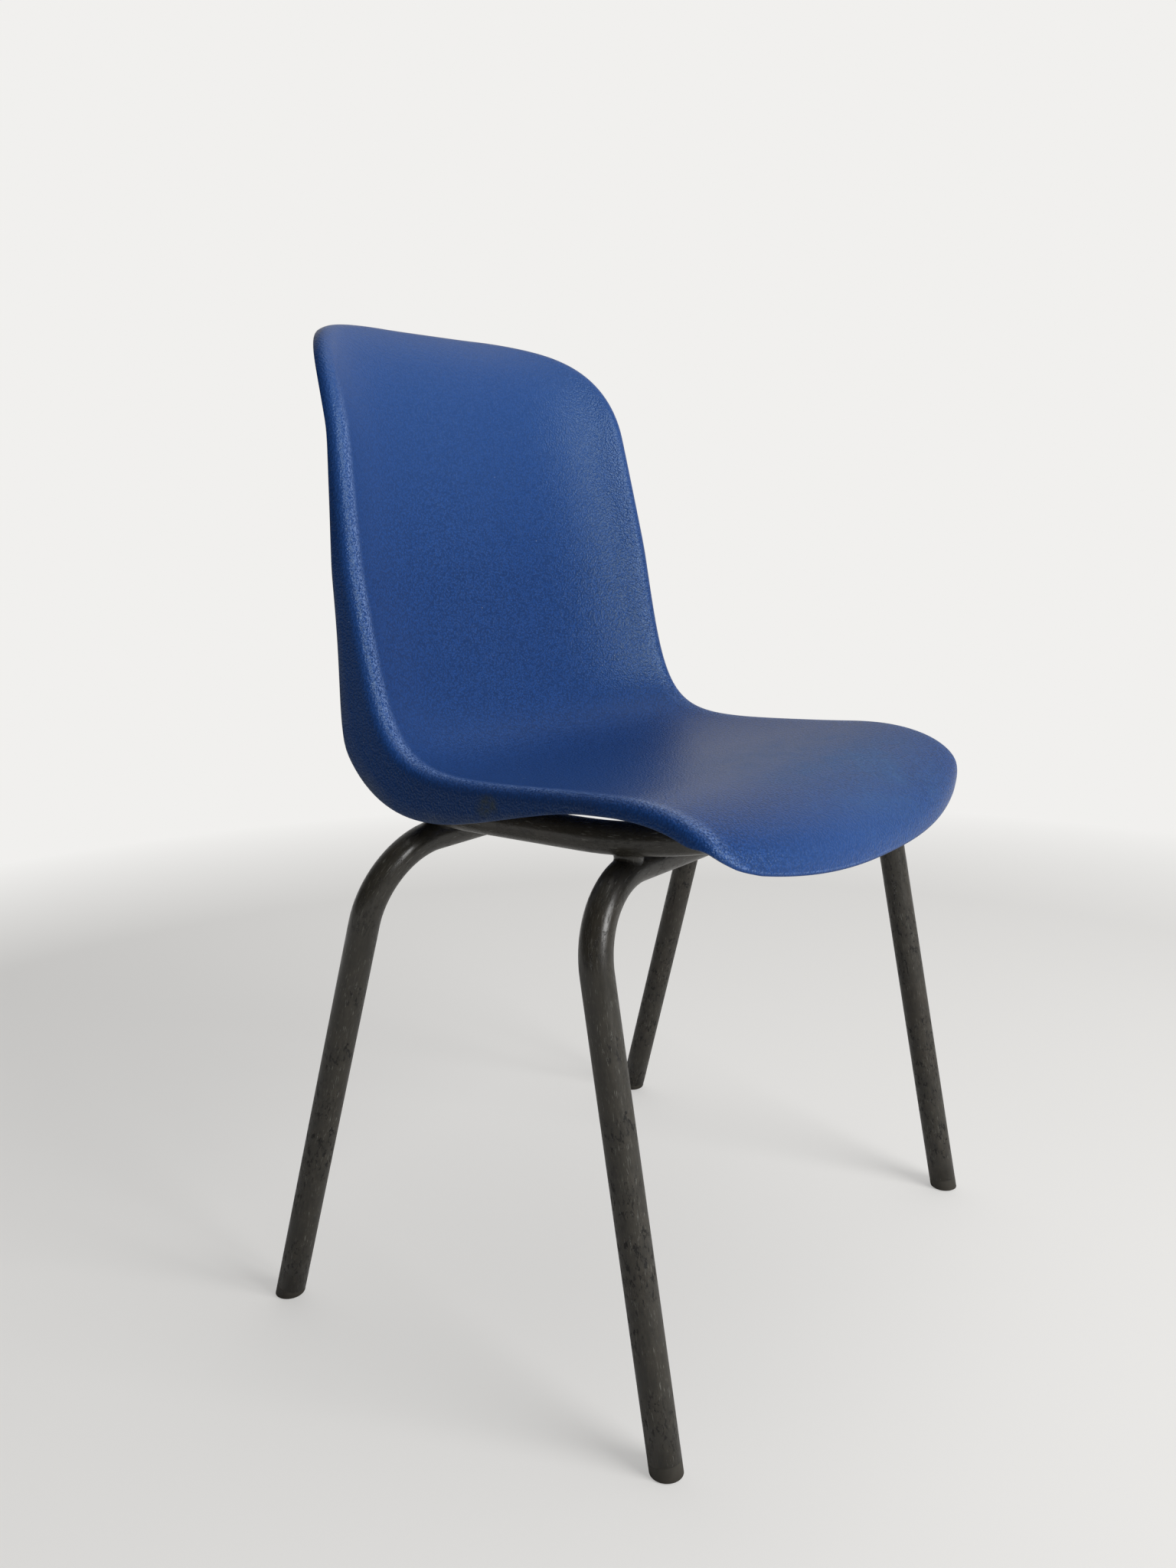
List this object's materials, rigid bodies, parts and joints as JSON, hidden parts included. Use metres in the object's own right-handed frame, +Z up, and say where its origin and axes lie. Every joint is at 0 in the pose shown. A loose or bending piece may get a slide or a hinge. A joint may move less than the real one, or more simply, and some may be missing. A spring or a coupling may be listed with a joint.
{
  "type": "school chair",
  "caption": "Stacking school chair with a one-piece moulded seat and back shell on a round tube frame of a seat ring and leg hoops.",
  "frame": {"origin": "on the floor, under the middle of the chair's overall box", "axes": "+X to the sitter's left, the sitter faces -Y, +Z up"},
  "size_m": [0.484, 0.4251, 0.7407],
  "materials": {
    "shell": "leather-grained satin, through-coloured polypropylene",
    "frame_paint": "satin dark grey stove enamel, scratched",
    "weld_paint": "satin dark grey stove enamel over the weld",
    "foot_plastic": "matt, scuffed",
    "screw_steel": "zinc plated"
  },
  "bodies": {
    "root": {"seat_shell": "shell", "seat_ring": "frame_paint", "front_leg_hoop": "frame_paint", "rear_leg_hoop": "frame_paint", "ring_weld_front_left": "weld_paint", "ring_weld_front_right": "weld_paint", "ring_weld_rear_left": "weld_paint", "ring_weld_rear_right": "weld_paint", "lug_front_left": "frame_paint", "lug_front_right": "frame_paint", "lug_rear_left": "frame_paint", "lug_rear_right": "frame_paint", "lug_welds": "weld_paint", "shell_screws": "screw_steel", "foot_plug_front_left": "foot_plastic", "foot_plug_front_right": "foot_plastic", "foot_plug_rear_left": "foot_plastic", "foot_plug_rear_right": "foot_plastic"}
  },
  "joints": []
}
